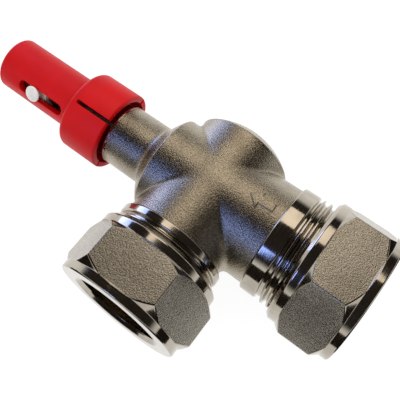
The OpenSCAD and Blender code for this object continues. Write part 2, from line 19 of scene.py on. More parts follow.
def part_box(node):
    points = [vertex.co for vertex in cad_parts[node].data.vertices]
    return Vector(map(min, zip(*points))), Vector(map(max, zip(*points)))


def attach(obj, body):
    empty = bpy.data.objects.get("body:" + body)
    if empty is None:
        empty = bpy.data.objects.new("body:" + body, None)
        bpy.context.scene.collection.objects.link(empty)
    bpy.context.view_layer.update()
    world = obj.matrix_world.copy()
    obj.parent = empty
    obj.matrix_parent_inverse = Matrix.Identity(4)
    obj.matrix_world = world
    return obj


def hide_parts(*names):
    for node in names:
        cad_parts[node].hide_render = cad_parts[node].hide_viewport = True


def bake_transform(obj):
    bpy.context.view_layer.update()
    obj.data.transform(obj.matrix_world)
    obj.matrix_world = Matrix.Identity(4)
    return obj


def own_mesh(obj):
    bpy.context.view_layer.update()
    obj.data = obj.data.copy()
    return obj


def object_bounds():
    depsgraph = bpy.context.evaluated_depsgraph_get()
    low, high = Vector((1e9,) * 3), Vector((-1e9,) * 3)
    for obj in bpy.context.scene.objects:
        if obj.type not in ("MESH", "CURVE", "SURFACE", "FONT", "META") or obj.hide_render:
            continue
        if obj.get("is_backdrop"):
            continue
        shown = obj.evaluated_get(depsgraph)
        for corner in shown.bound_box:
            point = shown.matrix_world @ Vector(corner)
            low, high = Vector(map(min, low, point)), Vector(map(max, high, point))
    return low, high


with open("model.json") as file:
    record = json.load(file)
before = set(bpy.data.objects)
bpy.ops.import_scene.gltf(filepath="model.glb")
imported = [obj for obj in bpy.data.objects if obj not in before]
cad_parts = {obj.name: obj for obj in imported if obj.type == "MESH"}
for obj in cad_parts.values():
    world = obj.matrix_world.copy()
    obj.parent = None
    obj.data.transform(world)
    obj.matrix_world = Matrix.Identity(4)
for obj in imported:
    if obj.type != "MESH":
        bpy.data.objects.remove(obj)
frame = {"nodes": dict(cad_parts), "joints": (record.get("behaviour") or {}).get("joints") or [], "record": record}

LOG = logging.getLogger("bypass_valve")
Array = np.ndarray
MM = 0.001
CROSS_X = -22.2
TURN = 2.0 * math.pi


# Materials

def linear(colour: str) -> tuple[float, float, float, float]:
    """Turns an sRGB hex colour into linear light.

    Args:
        colour: Six hex digits after a hash sign.

    Returns:
        Red, green, blue and an alpha of one.
    """
    parts = [int(colour[i:i + 2], 16) / 255.0 for i in (1, 3, 5)]
    return tuple(c / 12.92 if c <= 0.04045 else ((c + 0.055) / 1.055) ** 2.4 for c in parts) + (1.0,)


def add_node(tree: bpy.types.NodeTree, kind: str, inputs: Optional[dict[Any, Any]] = None,
             **settings: Any) -> bpy.types.Node:
    """Adds a shader node.

    Args:
        tree: The tree that the node goes into.
        kind: The node's type name.
        inputs: A value, or the output socket of another node, for each input by name or number.
        settings: Values of the node's own properties.

    Returns:
        The new node.
    """
    node = tree.nodes.new(kind)
    for key, value in settings.items():
        setattr(node, key, value)
    for key, value in (inputs or {}).items():
        if isinstance(value, bpy.types.NodeSocket):
            tree.links.new(value, node.inputs[key])
        else:
            node.inputs[key].default_value = value
    return node


class Follow(Enum):
    """What a pattern lies on."""

    SOLID = "Object"
    SURFACE = "UV"


@dataclass(frozen=True)
class Finish:
    """One real material with the way its surface was made.

    Attributes:
        name: The material's name and how it was made.
        light: Colour of most of the surface.
        dark: Colour of its darker patches.
        metallic: One for a metal.
        roughness: Lowest and highest roughness.
        grain: Size of the grain in mm, and its depth in mm.
        patch: Size of the darker patches in mm.
        drawn: How much shorter the pattern is along each axis of its coordinates.
        follow: Whether the pattern lies in the solid or runs with the surface.
        ior: Refractive index, for what is not a metal.
    """

    name: str
    light: str
    dark: str
    metallic: float
    roughness: tuple[float, float]
    grain: tuple[float, float]
    patch: float = 6.0
    drawn: tuple[float, float, float] = (1.0, 1.0, 1.0)
    follow: Follow = Follow.SOLID
    ior: float = 1.5

    def build(self) -> bpy.types.Material:
        """Builds the material: patches mix the colours, and the grain sets the roughness and lifts the surface.

        Returns:
            The material.
        """
        material = bpy.data.materials.new(self.name)
        material.use_nodes = True
        tree = material.node_tree
        shader = tree.nodes["Principled BSDF"]
        place = add_node(tree, "ShaderNodeTexCoord").outputs[self.follow.value]
        drawn = add_node(tree, "ShaderNodeMapping", {"Vector": place, "Scale": self.drawn}).outputs[0]
        grain_mm, depth_mm = self.grain
        grain = add_node(tree, "ShaderNodeTexNoise", {
            "Vector": drawn, "Scale": 1.0 / (grain_mm * MM), "Detail": 3.0, "Roughness": 0.6}).outputs[0]
        patch = add_node(tree, "ShaderNodeTexNoise", {
            "Vector": place, "Scale": 1.0 / (self.patch * MM), "Detail": 4.0, "Roughness": 0.55}).outputs[0]
        share = add_node(tree, "ShaderNodeMapRange", {
            "Value": patch, "From Min": 0.35, "From Max": 0.68}, interpolation_type="SMOOTHSTEP").outputs[0]
        colour = add_node(tree, "ShaderNodeMix", {
            0: share, 6: linear(self.light), 7: linear(self.dark)}, data_type="RGBA").outputs[2]
        speck = add_node(tree, "ShaderNodeMapRange", {
            "Value": grain, "From Min": 0.3, "From Max": 0.7,
            "To Min": self.roughness[0], "To Max": self.roughness[1]}).outputs[0]
        bump = add_node(tree, "ShaderNodeBump", {
            "Height": grain, "Distance": depth_mm * MM, "Strength": 1.0}).outputs[0]
        for socket, value in {"Base Color": colour, "Roughness": speck, "Normal": bump}.items():
            tree.links.new(value, shader.inputs[socket])
        shader.inputs["Metallic"].default_value = self.metallic
        if not self.metallic:
            shader.inputs["IOR"].default_value = self.ior
        return material


# Nickel plate over shot-blasted forged brass: a soft grey-brown glitter.
BLASTED_NICKEL = Finish("nickel_plate_on_blasted_forging", "#aea491", "#9b9180", 1.0,
                        (0.13, 0.34), (0.33, 0.11), patch=9.0)
# Nickel plate over lathe-turned brass: mirror bright, with faint rings from the tool.
TURNED_NICKEL = Finish("nickel_plate_on_turned_brass", "#b7afa1", "#a69e90", 1.0,
                       (0.06, 0.15), (0.30, 0.004), patch=5.0, drawn=(0.03, 1.0, 1.0), follow=Follow.SURFACE)
# Nickel plate over the blasted flats of a hot-pressed nut: a finer, sandy glitter.
PRESSED_NICKEL = Finish("nickel_plate_on_blasted_pressing", "#b3ac9e", "#a59e90", 1.0,
                        (0.15, 0.34), (0.30, 0.09), patch=9.0)
# Bare free-cutting brass off the lathe: yellow, slightly dull from handling.
TURNED_BRASS = Finish("turned_free_cutting_brass", "#b8975a", "#94753f", 1.0,
                      (0.18, 0.34), (0.4, 0.006), patch=4.0)
# Injection-moulded ABS, coloured through: an even, half-gloss red.
MOULDED_RED = Finish("injection_moulded_red_abs", "#cc0007", "#c00006", 0.0,
                     (0.40, 0.50), (0.35, 0.003), patch=9.0, ior=1.28)
# Injection-moulded acetal: dense milky white.
MOULDED_WHITE = Finish("injection_moulded_white_acetal", "#e9e6dc", "#dcd8cc", 0.0,
                       (0.32, 0.42), (0.35, 0.003), patch=5.0, ior=1.48)
# Moulded EPDM rubber: black and matt.
MOULDED_RUBBER = Finish("moulded_epdm_rubber", "#161616", "#0f0f0f", 0.0, (0.55, 0.7), (0.3, 0.004), ior=1.5)
# Drawn stainless wire and sheet: cool grey, fairly bright.
DRAWN_STAINLESS = Finish("drawn_stainless_steel", "#a9aaab", "#8f9091", 1.0, (0.16, 0.28), (0.25, 0.003))

SLOT_FINISH = {
    "blasted_nickel": BLASTED_NICKEL,
    "turned_nickel": TURNED_NICKEL,
    "bare_brass": TURNED_BRASS,
    "red_cap": MOULDED_RED,
    "white_pointer": MOULDED_WHITE,
    "seal_rubber": MOULDED_RUBBER,
    "stainless": DRAWN_STAINLESS,
}


class Palette:
    """Holds each finish's material once."""

    def __init__(self) -> None:
        """Starts with no material."""
        self._made: dict[Finish, bpy.types.Material] = {}

    def get(self, finish: Finish) -> bpy.types.Material:
        """Returns the finish's material, and builds it the first time."""
        if finish not in self._made:
            self._made[finish] = finish.build()
        return self._made[finish]


PALETTE = Palette()


# Surfaces

@dataclass(frozen=True)
class Axis:
    """An axis that surfaces of revolution stand on.

    Attributes:
        start: Its point at station zero.
        along: Its direction.
        side: Where angle zero points.
    """

    start: tuple[float, float, float]
    along: tuple[float, float, float]
    side: tuple[float, float, float]

    def place(self, radius: Array, angle: Array, station: Array) -> Array:
        """Turns cylinder coordinates into points.

        The point is the start, plus the station along the axis, plus the radius times the cosine of the
        angle to the side and times its sine at right angles to both.

        Args:
            radius: Distances from the axis.
            angle: Angles in radians.
            station: Distances along the axis.

        Returns:
            Points, with a last dimension of three.
        """
        along, side = np.array(self.along, float), np.array(self.side, float)
        up = np.cross(along, side)
        radius, angle, station = np.broadcast_arrays(radius, angle, station)
        return (np.array(self.start, float) + station[..., None] * along
                + (radius * np.cos(angle))[..., None] * side + (radius * np.sin(angle))[..., None] * up)


INLET_AXIS = Axis((CROSS_X, 0.0, 0.0), (1.0, 0.0, 0.0), (0.0, 1.0, 0.0))
OUTLET_AXIS = Axis((CROSS_X, 0.0, 0.0), (0.0, -1.0, 0.0), (1.0, 0.0, 0.0))


def round_corners(corners: Array, reach: Sequence[float], steps: int = 4) -> tuple[Array, Array]:
    """Rounds the corners of closed outlines.

    Each corner becomes a quadratic curve between the points at its reach on both sides, and a point
    half as far again on each side keeps the flats flat under smooth shading.

    Args:
        corners: Outlines as (outlines, corners, 2).
        reach: Reach of each corner's rounding, which is cut where a side is short.
        steps: Number of spans in a rounded corner.

    Returns:
        The rounded outlines as (outlines, points, 2), and each point's corner number.
    """
    before, after = np.roll(corners, 1, axis=1) - corners, np.roll(corners, -1, axis=1) - corners
    len_before = np.linalg.norm(before, axis=2, keepdims=True)
    len_after = np.linalg.norm(after, axis=2, keepdims=True)
    wanted = np.asarray(reach, float)[None, :, None]
    cut = np.minimum(wanted, 0.32 * np.minimum(len_before, len_after))
    first = corners + before / np.maximum(len_before, 1e-9) * cut
    last = corners + after / np.maximum(len_after, 1e-9) * cut
    t = np.linspace(0.0, 1.0, steps + 1)[None, None, :, None]
    curve = ((1 - t) ** 2 * first[:, :, None] + 2 * t * (1 - t) * corners[:, :, None]
             + t ** 2 * last[:, :, None])
    lead = (corners + before / np.maximum(len_before, 1e-9) * cut * 1.45)[:, :, None]
    tail = (corners + after / np.maximum(len_after, 1e-9) * cut * 1.45)[:, :, None]
    full = np.concatenate([lead, curve, tail], axis=2)
    number = np.repeat(np.arange(corners.shape[1]), steps + 3)
    return full.reshape(corners.shape[0], -1, 2), number


def grid_quads(rows: int, cols: int, wrap_rows: bool, wrap_cols: bool) -> tuple[Array, Array]:
    """Numbers the quads of a grid of points.

    Args:
        rows: Number of rows.
        cols: Number of columns.
        wrap_rows: Whether the last row meets the first.
        wrap_cols: Whether the last column meets the first.

    Returns:
        Each quad's four point numbers, and the row and column that each corner would have unwrapped.
    """
    row, col = np.meshgrid(np.arange(rows if wrap_rows else rows - 1),
                           np.arange(cols if wrap_cols else cols - 1), indexing="ij")
    grid_row = np.stack([row, row + 1, row + 1, row], axis=-1).reshape(-1, 4)
    grid_col = np.stack([col, col, col + 1, col + 1], axis=-1).reshape(-1, 4)
    return (grid_row % rows) * cols + grid_col % cols, np.stack([grid_row, grid_col], axis=-1)


def write_mesh(name: str, points: Array, quads: Array, uv: Optional[Array] = None) -> bpy.types.Object:
    """Makes an object at the origin from points in millimetres.

    Args:
        name: The object's name.
        points: Points as (points, 3), in millimetres.
        quads: Point numbers as (faces, 4).
        uv: A place on the surface for each corner of each face, in metres, as (faces, 4, 2).

    Returns:
        The object, shaded smooth.
    """
    mesh = bpy.data.meshes.new(name)
    mesh.vertices.add(len(points))
    mesh.vertices.foreach_set("co", (points * MM).astype(np.float32).ravel())
    mesh.loops.add(quads.size)
    mesh.loops.foreach_set("vertex_index", quads.astype(np.int32).ravel())
    mesh.polygons.add(len(quads))
    mesh.polygons.foreach_set("loop_start", np.arange(0, quads.size, 4, dtype=np.int32))
    mesh.polygons.foreach_set("use_smooth", np.ones(len(quads), dtype=bool))
    if uv is not None:
        mesh.uv_layers.new(name="surface").data.foreach_set("uv", uv.astype(np.float32).ravel())
    mesh.update(calc_edges=True)
    mesh.validate()
    made = bpy.data.objects.new(name, mesh)
    bpy.context.scene.collection.objects.link(made)
    return made


def weld(piece: bpy.types.Object) -> None:
    """Merges points that lie on one another, which closes poles and seams."""
    work = bmesh.new()
    work.from_mesh(piece.data)
    bmesh.ops.remove_doubles(work, verts=work.verts, dist=2e-6)
    work.to_mesh(piece.data)
    work.free()


def settle(piece: bpy.types.Object, body: Optional[str], nodes: Sequence[str],
           finishes: Sequence[Finish], zones: Optional[Array] = None) -> bpy.types.Object:
    """Gives a piece its body, the nodes that it stands for and its finishes.

    Args:
        piece: The piece.
        body: The body that it rides on, or None for a piece that bends between two bodies.
        nodes: The nodes that it stands for.
        finishes: Its finishes.
        zones: The number of each face's finish.

    Returns:
        The piece.
    """
    for finish in finishes:
        piece.data.materials.append(PALETTE.get(finish))
    if zones is not None:
        piece.data.polygons.foreach_set("material_index", zones.astype(np.int32))
    if body is not None:
        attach(piece, body)
    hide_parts(*nodes)
    LOG.info("%s: %d faces on %s", piece.name, len(piece.data.polygons), body or "two bodies")
    return piece


def revolve(name: str, axis: Axis, angles: Array, outline: Array,
            lift: Optional[Callable[[Array, Array, Array], Array]] = None) -> tuple[bpy.types.Object, Array]:
    """Carries a closed outline around an axis.

    The point at angle a and place m of the outline has the outline's radius and station there, and the
    lift, if there is one, adds to the radius.

    Args:
        name: The piece's name.
        axis: The axis.
        angles: Angles in radians, once round.
        outline: [station, radius] as (1 or angles, points, 2), out along the outside and back inside.
        lift: Gives what is added to the radius, from angle, station and radius.

    Returns:
        The object, and the number of the outline's point at which each face starts.
    """
    station, radius = outline[..., 0], outline[..., 1]
    turn = angles[:, None]
    if lift is not None:
        radius = radius + lift(turn, station, radius)
    points = axis.place(radius, turn, station)
    rows, cols = points.shape[:2]
    quads, cell = grid_quads(rows, cols, True, True)
    middle = outline.mean(axis=0)
    run = np.concatenate([[0.0], np.cumsum(np.linalg.norm(np.roll(middle, -1, axis=0) - middle, axis=1))])
    around = np.append(angles, angles[0] + TURN) * 15.0
    uv = np.stack([around[cell[..., 0]], run[cell[..., 1]]], axis=-1) * MM
    return write_mesh(name, points.reshape(-1, 3), quads, uv), cell[:, 0, 1]


def even_angles(count: int) -> Array:
    """Returns that many angles, evenly spaced once round."""
    return np.arange(count) * (TURN / count)


def step_up(value: Array, low: float, high: float) -> Array:
    """Rises smoothly from 0 at low to 1 at high: 3 t squared less 2 t cubed."""
    t = np.clip((value - low) / (high - low), 0.0, 1.0)
    return t * t * (3.0 - 2.0 * t)


# Forged body

def blend_min(a: Array, b: Array, width: Array | float) -> Array:
    """Joins two solids with a fillet: the least distance, less overlap squared over four widths."""
    overlap = np.maximum(width - np.abs(a - b), 0.0)
    return np.minimum(a, b) - overlap * overlap / (4.0 * width)


def blend_max(a: Array, b: Array, width: Array | float) -> Array:
    """Keeps what two solids share, with a rounded edge."""
    return -blend_min(-a, -b, width)


def net_surface(field: Callable[[Array], Array], low: Array, high: Array, step: float) -> tuple[Array, Array]:
    """Finds the surface where a distance field is zero.

    Each cell of a cubic grid that the surface crosses gets one point, at the mean of the crossings on its
    edges. Each grid edge that it crosses gets a quad through the four cells around it. The points then
    move along the field's gradient until the field is zero there.

    Args:
        field: Gives the distance at points, negative inside.
        low: Lowest corner of the grid.
        high: Highest corner.
        step: Size of a cell.

    Returns:
        The points and the quads, facing out.
    """
    ticks = [np.arange(a, b + step, step) for a, b in zip(low, high)]
    shape = tuple(len(t) for t in ticks)
    value = field(np.stack(np.meshgrid(*ticks, indexing="ij"), axis=-1).reshape(-1, 3)).reshape(shape)
    inside = value < 0
    cells = tuple(n - 1 for n in shape)
    total, count = np.zeros(cells + (3,)), np.zeros(cells)
    crossed = []
    for k in range(3):
        ahead = [slice(None)] * 3
        here = [slice(None)] * 3
        ahead[k], here[k] = slice(1, None), slice(0, -1)
        flip = inside[tuple(ahead)] != inside[tuple(here)]
        crossed.append((flip, inside[tuple(here)]))
        gap = value[tuple(here)] - value[tuple(ahead)]
        t = np.where(flip, value[tuple(here)] / np.where(gap == 0, 1.0, gap), 0.0)
        place = np.zeros(flip.shape + (3,))
        for m in range(3):
            line = [None, None, None]
            line[m] = slice(0, flip.shape[m])
            place[..., m] = np.arange(flip.shape[m])[tuple(line)]
        place[..., k] += t
        place *= flip[..., None]
        u, v = [m for m in range(3) if m != k]
        for du in (0, 1):
            for dv in (0, 1):
                part = [slice(None)] * 3
                part[u] = slice(du, du + cells[u])
                part[v] = slice(dv, dv + cells[v])
                total += place[tuple(part)]
                count += flip[tuple(part)]
    used = count > 0
    number = np.full(cells, -1)
    number[used] = np.arange(used.sum())
    points = np.array(low, float) + total[used] / count[used][:, None] * step
    faces = []
    for k in range(3):
        u, v = (k + 1) % 3, (k + 2) % 3
        flip, start_inside = crossed[k]
        core = [slice(None)] * 3
        core[u], core[v] = slice(1, -1), slice(1, -1)
        index = np.argwhere(flip[tuple(core)])
        index[:, u] += 1
        index[:, v] += 1
        out = start_inside[tuple(index.T)]
        ring = []
        for du, dv in ((-1, -1), (0, -1), (0, 0), (-1, 0)):
            cell = index.copy()
            cell[:, u] += du
            cell[:, v] += dv
            ring.append(number[tuple(cell.T)])
        quad = np.stack(ring, axis=1)
        faces.append(np.where(out[:, None], quad, quad[:, ::-1]))
    probe = 0.02
    for _ in range(4):
        at = field(points)
        slope = np.stack([(field(points + probe * d) - field(points - probe * d)) / (2 * probe)
                          for d in np.eye(3)], axis=1)
        move = slope * (at / np.maximum((slope ** 2).sum(axis=1), 0.1))[:, None]
        points = points - np.clip(move, -0.25 * step, 0.25 * step)
    return points, np.concatenate(faces)


@dataclass
class ForgedBody:
    """The blasted forging: two arms that cross inside a ball, a neck, and the waterways bored through it.

    Sizes are in millimetres, in the frame of the crossing.
    """

    ball_r: float = 19.2
    rim_at: float = 13.9
    arm_tip_r: float = 13.0
    arm_root_r: float = 13.5
    inlet_to: float = 19.4
    outlet_to: float = 16.4
    neck_r: float = 8.3
    neck_to: float = 28.7
    crease: float = 0.5
    crotch: float = 2.0
    cell: float = 0.32

    def draft(self, along: Array, reach: float) -> Array:
        """Radius of an arm's cone of draft, which widens from its rim to where it is cut."""
        share = np.clip((along + self.rim_at) / (self.rim_at + reach), 0.0, 1.0)
        return self.arm_tip_r + (self.arm_root_r - self.arm_tip_r) * share

    def arm(self, along: Array, off: Array, reach: float, ball: Array) -> Array:
        """An arm: a cone of draft, closed by the ball behind and cut flat ahead.

        Args:
            along: Station along the arm, positive towards its port.
            off: Distance from its axis.
            reach: Where it is cut.
            ball: Distance to the ball.

        Returns:
            Distance to the arm.
        """
        wall = off - self.draft(along, reach)
        lip = np.maximum(off - math.sqrt(self.ball_r ** 2 - self.rim_at ** 2), along + self.rim_at)
        wall = blend_min(wall, lip, 0.15)
        closed = np.where(along < 0, ball, -4.0)
        return np.maximum(blend_max(wall, closed, 0.3), along - reach)

    def outside(self, p: Array) -> Array:
        """Distance to the forging before it is bored: both arms and the neck, joined with fillets."""
        x, y, z = p.T
        ball = np.sqrt(x * x + y * y + z * z) - self.ball_r
        run = self.arm(x, np.hypot(y, z), self.inlet_to, ball)
        branch = self.arm(-y, np.hypot(x, z), self.outlet_to, ball)
        inner = step_up(x, 0.0, 7.0) * step_up(-y, 0.0, 7.0) * (1.0 - step_up(np.abs(z), 6.0, 12.0))
        width = self.crease + (self.crotch - self.crease) * inner
        cross = blend_min(run, branch, width)
        neck = np.maximum(np.hypot(y, z) - self.neck_r, np.maximum(-x - self.neck_to, x + 5.0))
        return blend_min(cross, neck, 1.3)

    def field(self, p: Array) -> Array:
        """Distance to the bored forging: its outside, less the ways, the chamber and the gland bore."""
        x, y, z = p.T
        run_r, branch_r = np.hypot(y, z), np.hypot(x, z)
        cuts = [
            np.maximum(run_r - 9.63, 9.0 - x),
            np.maximum(run_r - 9.03, np.abs(x - 7.0) - 2.5),
            np.maximum(run_r - 10.4, np.abs(x + 2.75) - 8.75),
            np.maximum(run_r - 6.05, np.abs(x + 20.0) - 9.0),
            np.maximum(run_r - 6.38, x + 28.4),
            np.maximum(branch_r - 9.63, y),
        ]
        return np.maximum(self.outside(p), -np.minimum.reduce(cuts))

    def build(self) -> None:
        """Builds the forging."""
        low = np.array([-self.neck_to - 0.8, -self.outlet_to - 0.8, -14.8])
        high = np.array([self.inlet_to + 0.8, self.ball_r + 0.8, 14.8])
        points, quads = net_surface(self.field, low, high, self.cell)
        points[:, 0] += CROSS_X
        piece = write_mesh("forged_body", points, quads)
        settle(piece, "valve", ["valve_body"], [BLASTED_NICKEL])


@dataclass
class FlowArrow:
    """The raised arrow on top of the inlet arm.

    It is a plate just under the arm's surface, which rises through it inside the arrow's outline.
    """

    arm: ForgedBody
    tip: float = 10.0
    length: float = 6.7
    head: float = 3.0
    barbs: float = 5.3
    shaft: float = 2.3
    side: float = 0.85
    raised: float = 0.44
    sunk: float = 0.08
    plate: float = 0.5
    border: float = 0.6
    slope: tuple[float, float] = (-0.18, 0.25)

    def inside(self, u: Array, v: Array) -> Array:
        """Distance to the arrow's outline, positive inside.

        The head lies between its two slanted edges and its back, and the shaft between its two sides.

        Args:
            u: Distance behind the tip.
            v: Distance to the side of its middle line.

        Returns:
            The distances.
        """
        slant = math.hypot(self.head, self.barbs / 2)
        head = np.minimum((u * self.barbs / 2 - np.abs(v) * self.head) / slant, self.head - u)
        shaft = np.minimum.reduce([self.shaft / 2 - np.abs(v), u - self.head / 2, self.length - u])
        return np.maximum(head, shaft)

    def build(self) -> None:
        """Builds the plate: its face follows the arm and rises by the distance to the outline.

        Its columns run across the face and back along the underside, and in the first and the last row
        the face comes down to the underside, which closes the ends.
        """
        half = self.barbs / 2 + self.border
        u, v = np.meshgrid(np.linspace(-self.border, self.length + self.border, 150),
                           np.linspace(-half, half, 120), indexing="ij")
        surface = self.arm.draft(self.tip + u, self.arm.inlet_to) - self.sunk
        face = surface + step_up(self.inside(u, v), *self.slope) * self.raised
        under = surface - self.plate
        face[[0, -1]] = under[[0, -1]]
        radius = np.concatenate([face, under[:, ::-1]], axis=1)
        across = np.concatenate([v, v[:, ::-1]], axis=1)
        angle = np.arccos((self.side + across) / self.arm.arm_root_r)
        points = INLET_AXIS.place(radius, angle, self.tip + np.concatenate([u, u], axis=1))
        quads, _ = grid_quads(*radius.shape, False, True)
        piece = write_mesh("flow_arrow", points.reshape(-1, 3), quads)
        weld(piece)
        settle(piece, "valve", ["valve_body"], [BLASTED_NICKEL])


@dataclass
class ThreadedPort:
    """A machined port end: collar, helical thread, cone for the olive and pipe socket."""

    name: str
    axis: Axis
    collar_at: float
    collar_w: float
    thread_l: float
    phase: float
    collar_r: float = 14.5
    crest_r: float = 14.65
    root_r: float = 13.55
    pitch: float = 1.814
    way_r: float = 9.6
    socket_r: float = 11.1
    socket_depth: float = 14.0
    mouth_r: float = 12.9
    mouth_depth: float = 3.5
    collar_edge: float = 0.35
    end_edge: float = 0.4
    lead_in: tuple[float, float] = (0.35, 1.0)
    run_out: tuple[float, float] = (1.0, 0.3)
    thread_step: float = 0.085

    @property
    def end(self) -> float:
        """Station of the port's end."""
        return self.collar_at + self.collar_w + self.thread_l

    def thread(self, turn: Array, station: Array, radius: Array) -> Array:
        """Height of the thread above its root.

        The way along the axis, less the pitch for each turn, gives a place in one pitch. A triangle wave
        of it, steepened and cut to between 0 and 1, is the thread's rounded trapezium.
        """
        start = self.collar_at + self.collar_w
        place = (station - start) / self.pitch - turn / TURN - self.phase
        wave = np.abs(2.0 * (place - np.floor(place)) - 1.0)
        ridge = step_up(wave, 0.22, 0.80)
        begins = step_up(station, start + self.lead_in[0], start + self.lead_in[1])
        ends = step_up(station, self.end - self.run_out[0], self.end - self.run_out[1])
        cut = np.abs(radius - self.root_r) < 1e-6
        return np.where(cut, ridge * begins * (1.0 - ends) * (self.crest_r - self.root_r), 0.0)

    def build(self) -> None:
        """Builds the port end from its outline, with the thread lifted out of its root."""
        a, b, end = self.collar_at, self.collar_at + self.collar_w, self.end
        edge, last = self.collar_edge, self.end_edge
        corners = np.array([[
            [a, self.way_r], [a, self.collar_r - edge], [a + edge, self.collar_r], [b - edge, self.collar_r],
            [b, self.collar_r - edge], [b, self.root_r], [end - last, self.root_r], [end, self.root_r - last],
            [end, self.mouth_r], [end - self.mouth_depth, self.socket_r],
            [end - self.socket_depth, self.socket_r], [end - self.socket_depth, self.way_r]]])
        thread_end = 6
        reach = [0.1, 0.15, 0.15, 0.15, 0.15, 0.12, 0.15, 0.15, 0.1, 0.1, 0.1, 0.1]
        outline, number = round_corners(corners, reach)
        split = int(np.searchsorted(number, thread_end))
        root = np.arange(outline[0, split - 1, 0] + 0.05, outline[0, split, 0] - 0.04, self.thread_step)
        dense = np.stack([root, np.full_like(root, self.root_r)], axis=1)[None]
        outline = np.concatenate([outline[:, :split], dense, outline[:, split:]], axis=1)
        piece, _ = revolve(self.name, self.axis, even_angles(160), outline, self.thread)
        settle(piece, "valve", ["valve_body"], [TURNED_NICKEL])


@dataclass
class NeckSpigot:
    """The turned end of the neck, with the groove that the cap clips into."""

    step_at: float = 29.3
    end: float = 38.6
    neck_r: float = 8.32
    spigot_r: float = 7.9
    groove_r: float = 7.3
    groove: tuple[float, float] = (34.1, 35.9)
    bore_r: float = 6.35
    tip_edge: float = 0.4
    step_edge: float = 0.2
    sunk_at: tuple[float, float] = (28.5, 28.3)
    sunk: float = 0.25

    def build(self) -> None:
        """Builds the spigot from its outline."""
        (near, far), (sink, back) = self.groove, self.sunk_at
        tip, step, edge = -self.end, -self.step_at, self.step_edge
        corners = np.array([[
            [tip, self.bore_r], [tip, self.spigot_r - self.tip_edge], [tip + self.tip_edge, self.spigot_r],
            [-far, self.spigot_r], [-far, self.groove_r], [-near, self.groove_r], [-near, self.spigot_r],
            [step, self.spigot_r], [step, self.neck_r - edge], [step + edge, self.neck_r],
            [-sink, self.neck_r], [-back, self.neck_r - self.sunk], [-back, self.bore_r]]])
        outline, _ = round_corners(corners, [0.1] * corners.shape[1])
        piece, _ = revolve("neck_spigot", INLET_AXIS, even_angles(128), outline)
        settle(piece, "valve", ["valve_body"], [TURNED_NICKEL])


# Nuts and olives

@dataclass
class UnionNut:
    """A union nut: turned shoulder, drawn hexagon with turned chamfers, turned collar and mouth."""

    name: str
    node: str
    body: str
    axis: Axis
    start: float
    flat_angle: float
    length: float = 17.2
    flats: float = 32.0
    shoulder_r: float = 16.45
    shoulder_l: float = 2.9
    bevel: float = 0.9
    entry: float = 0.5
    edge: float = 0.3
    collar_r: float = 16.5
    collar_l: float = 2.2
    bore_r: float = 14.75
    cone_r: float = 13.0
    pipe_r: float = 11.2
    wall: float = 3.6
    runout: float = 9.6
    mouth: float = 0.95
    corner_round: float = 0.45

    def hex_radius(self, angle: Array) -> Array:
        """Distance from the axis to the hexagon.

        On a flat it is half the width over the cosine of the angle from the flat's middle. Near a corner it
        is where the ray meets a circle that touches both flats.

        Args:
            angle: Angles from the middle of the nearest flat.

        Returns:
            The distances.
        """
        half, r = self.flats / 2, self.corner_round
        centre = (half - r) / math.cos(math.pi / 6)
        off = math.pi / 6 - np.abs(angle)
        rounded = centre * np.cos(off) + np.sqrt(np.maximum(r * r - (centre * np.sin(off)) ** 2, 0.0))
        limit = math.atan(centre * 0.5 / half)
        return np.where(np.abs(angle) > limit, rounded, half / np.cos(angle))

    def build(self) -> None:
        """Builds the nut: for each angle the outline's chamfers meet the hexagon at its own distance."""
        edge = math.radians(29.2)
        sector = np.concatenate([np.linspace(-math.pi / 6, -edge, 4)[:-1], np.linspace(-edge, edge, 38),
                                 np.linspace(edge, math.pi / 6, 4)[1:-1]])
        angles = (np.arange(6)[:, None] * (math.pi / 3) + sector).ravel() + math.radians(self.flat_angle)
        hexagon = self.hex_radius(np.tile(sector, 6))
        one, length = np.ones_like(hexagon), self.length
        lower = self.shoulder_l + np.maximum(hexagon - self.shoulder_r, 0.05)
        upper = length - self.collar_l - np.maximum(hexagon - self.collar_r, 0.05)
        cone_end = length - self.wall
        mouth_r = self.pipe_r + self.mouth
        stations = [0, 0, self.bevel, self.shoulder_l, lower, upper, length - self.collar_l,
                    length - self.edge, length, length, length - self.mouth, cone_end,
                    cone_end - (self.cone_r - self.pipe_r), self.runout, self.runout, self.entry]
        radii = [self.bore_r + self.entry, self.shoulder_r - self.bevel, self.shoulder_r, self.shoulder_r,
                 hexagon, hexagon, self.collar_r, self.collar_r, self.collar_r - self.edge, mouth_r,
                 self.pipe_r, self.pipe_r, self.cone_r, self.cone_r, self.bore_r, self.bore_r]
        corners = np.stack([np.stack([one * s, one * r], axis=-1) for s, r in zip(stations, radii)], axis=1)
        reach = [0.15, 0.25, 0.25, 0.15, 0.22, 0.22, 0.15, 0.2, 0.2, 0.2, 0.2, 0.2, 0.2, 0.1, 0.1, 0.15]
        outline, number = round_corners(corners, reach)
        outline[..., 0] += self.start
        piece, first = revolve(self.name, self.axis, angles, outline)
        hex_start = 4
        zone = (number[first] == hex_start) & (np.roll(number, -1)[first] >= hex_start)
        finishes = [TURNED_NICKEL, PRESSED_NICKEL]
        settle(piece, self.body, [self.node], finishes, zone.astype(int))


@dataclass
class Olive:
    """A soft brass ring that the nut squeezes onto the pipe."""

    name: str
    node: str
    axis: Axis
    start: float
    length: float = 6.8
    bore_r: float = 11.12
    thickness: float = 1.5
    cone: float = 2.0
    tip: float = 0.35

    def build(self) -> None:
        """Builds the ring from its outline."""
        a, b, r, top = self.start, self.start + self.length, self.bore_r, self.bore_r + self.thickness
        corners = np.array([[[a, r], [a, r + self.tip], [a + self.cone, top], [b - self.cone, top],
                             [b, r + self.tip], [b, r]]])
        outline, _ = round_corners(corners, [0.12] * 6)
        piece, _ = revolve(self.name, self.axis, even_angles(96), outline)
        settle(piece, self.node, [self.node], [TURNED_BRASS])


# Cap and pointer

